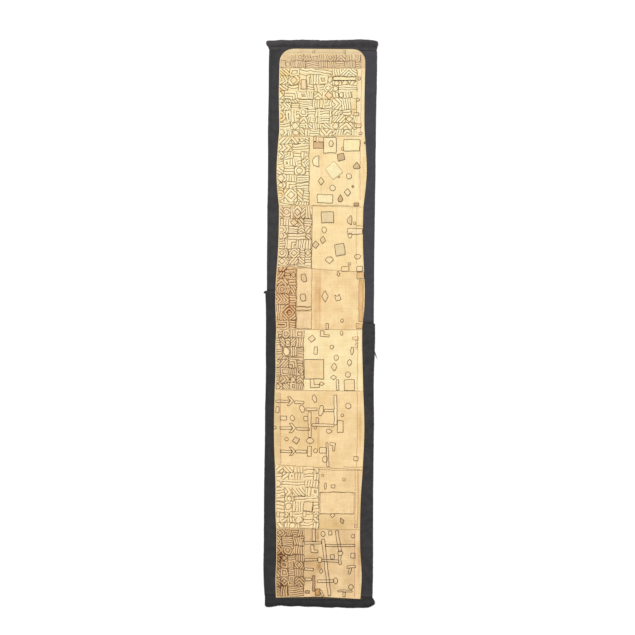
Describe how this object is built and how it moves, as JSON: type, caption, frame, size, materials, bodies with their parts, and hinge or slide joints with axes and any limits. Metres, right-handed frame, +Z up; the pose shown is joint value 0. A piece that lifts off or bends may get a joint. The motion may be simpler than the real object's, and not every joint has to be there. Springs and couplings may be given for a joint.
{
  "type": "kuba raffia wrap skirt cloth",
  "caption": "Long flat raffia wrap skirt cloth, laid out face up: raffia lengths sewn end to end, with patchwork and a black border with rolled hems at its ends.",
  "frame": {"origin": "centre of the laid-out cloth, on the surface that it lies on", "axes": "+X across the cloth, +Y along it towards the heading, +Z up out of its face"},
  "size_m": [0.768, 3.81, 0.0092],
  "materials": {
    "raffia": "matte woven raffia",
    "pale_raffia": "matte woven raffia",
    "brown_raffia": "matte woven raffia",
    "grey_raffia": "matte woven raffia",
    "patchwork": "matte stitched raffia",
    "black_cloth": "matte"
  },
  "bodies": {
    "root": {"border_bottom": "black_cloth", "border_left_lower": "black_cloth", "border_left_upper": "black_cloth", "border_right_lower": "black_cloth", "border_right_upper": "black_cloth", "border_top": "black_cloth", "field_1": "patchwork", "field_2": "patchwork", "field_3": "patchwork", "field_4": "patchwork", "field_5": "patchwork", "field_7": "patchwork", "field_8": "patchwork", "field_heading": "patchwork", "patch_1_long_bar": "pale_raffia", "patch_1_lozenge": "pale_raffia", "patch_1_pale_block": "pale_raffia", "patch_2_brown_block": "brown_raffia", "patch_2_disc_lower": "pale_raffia", "patch_2_disc_upper": "pale_raffia", "patch_2_drop": "brown_raffia", "patch_2_faint_block": "pale_raffia", "patch_2_half_disc": "pale_raffia", "patch_2_hatched": "brown_raffia", "patch_2_heart": "brown_raffia", "patch_2_low_block": "pale_raffia", "patch_2_lozenge_left": "pale_raffia", "patch_2_lozenge_right": "pale_raffia", "patch_2_tall_block": "pale_raffia", "patch_2_wide_block": "pale_raffia", "patch_3_edge_bar": "pale_raffia", "patch_3_grey_block": "grey_raffia", "patch_3_grey_tilted": "grey_raffia", "patch_3_house": "pale_raffia", "patch_3_leaf": "grey_raffia", "patch_3_lozenge_left": "pale_raffia", "patch_3_lozenge_mid": "pale_raffia", "patch_4_edge_strip": "brown_raffia", "patch_4_low": "raffia", "patch_4_lozenge": "pale_raffia", "patch_4_tall": "pale_raffia", "patch_5_big_block": "raffia", "patch_5_right_block": "raffia", "patch_5_tilted": "pale_raffia", "patch_6_stem": "raffia", "patch_6_tall_bar": "pale_raffia", "patch_6_upright": "pale_raffia", "patch_7_band": "pale_raffia", "patch_8_leaning_bar": "raffia", "raffia_heading": "raffia", "raffia_panel_1": "raffia", "raffia_panel_2": "raffia", "raffia_panel_3": "raffia", "raffia_panel_4": "raffia", "raffia_panel_5": "raffia", "raffia_panel_6": "raffia", "raffia_panel_7": "raffia", "raffia_panel_8": "raffia", "thread_left": "black_cloth", "thread_right": "black_cloth"}
  },
  "joints": []
}
